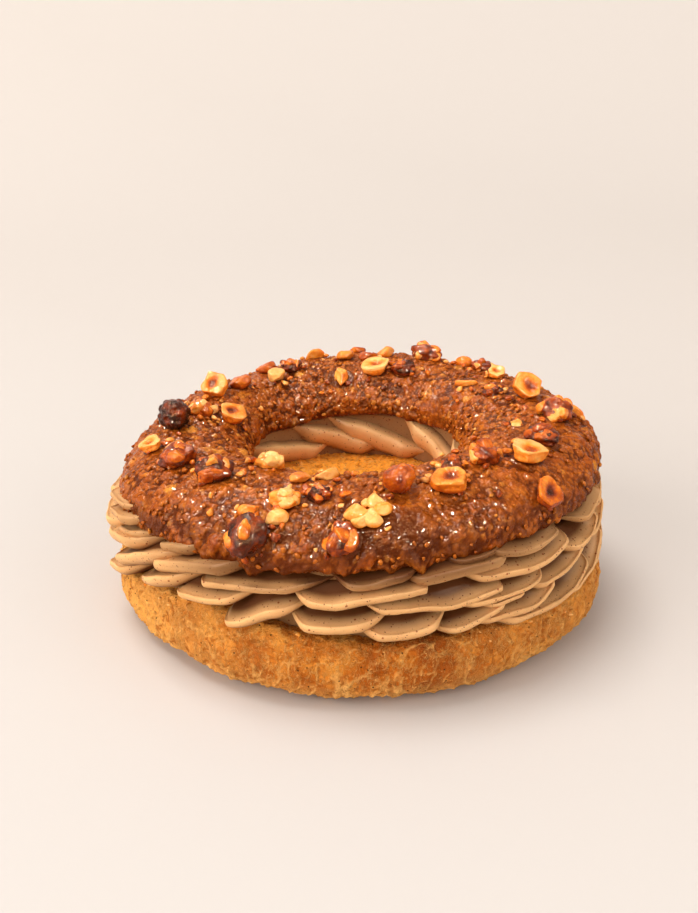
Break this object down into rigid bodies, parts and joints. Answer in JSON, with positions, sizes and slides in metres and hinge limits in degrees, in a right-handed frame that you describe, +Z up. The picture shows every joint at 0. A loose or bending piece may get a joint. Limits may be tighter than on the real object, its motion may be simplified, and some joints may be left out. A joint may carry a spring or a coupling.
{
  "type": "paris-brest pastry",
  "caption": "Round choux pastry: a golden base, piped praline cream and a nut-crusted top ring strewn with caramelised hazelnuts.",
  "frame": {"origin": "on the ground, under the middle of the base's flat foot", "axes": "+Z up; the side that faces the viewer is towards -Y"},
  "size_m": [0.1957, 0.1904, 0.0838],
  "materials": {
    "choux": "golden brown baked crust, matte",
    "cream": "praline cream, satin",
    "nut_crust": "glazed crust of chopped praline, glossy",
    "nut_pale": "roasted hazelnut flesh, satin",
    "nut_gold": "hazelnut in golden caramel, glossy",
    "nut_amber": "hazelnut in amber caramel, glossy",
    "nut_dark": "hazelnut in dark caramel, glossy"
  },
  "bodies": {
    "root": {"base": "choux", "cream": "cream", "ring": "nut_crust", "nut_01": "nut_gold", "nut_02": "nut_amber", "nut_03": "nut_amber", "nut_04": "nut_pale", "nut_05": "nut_dark", "nut_06": "nut_gold", "nut_07": "nut_gold", "nut_08": "nut_gold", "nut_09": "nut_amber", "nut_10": "nut_amber", "nut_11": "nut_gold", "nut_12": "nut_pale", "nut_13": "nut_dark", "nut_14": "nut_amber", "nut_15": "nut_gold", "nut_16": "nut_amber", "nut_17": "nut_gold", "nut_18": "nut_pale", "nut_19": "nut_dark", "nut_20": "nut_gold", "nut_21": "nut_pale", "nut_22": "nut_amber", "nut_23": "nut_gold", "nut_24": "nut_dark", "nut_25": "nut_pale", "nut_26": "nut_amber", "nut_27": "nut_dark", "nut_28": "nut_gold", "nut_29": "nut_amber", "nut_30": "nut_amber", "nut_31": "nut_pale", "nut_32": "nut_amber", "nut_33": "nut_pale", "nut_34": "nut_pale", "nut_35": "nut_gold", "nut_36": "nut_dark", "nut_37": "nut_dark", "nut_38": "nut_gold", "nut_39": "nut_pale", "nut_40": "nut_pale", "nut_41": "nut_dark", "nut_42": "nut_amber", "nut_43": "nut_dark", "nut_44": "nut_pale", "nut_45": "nut_gold", "nut_46": "nut_gold"}
  },
  "joints": []
}
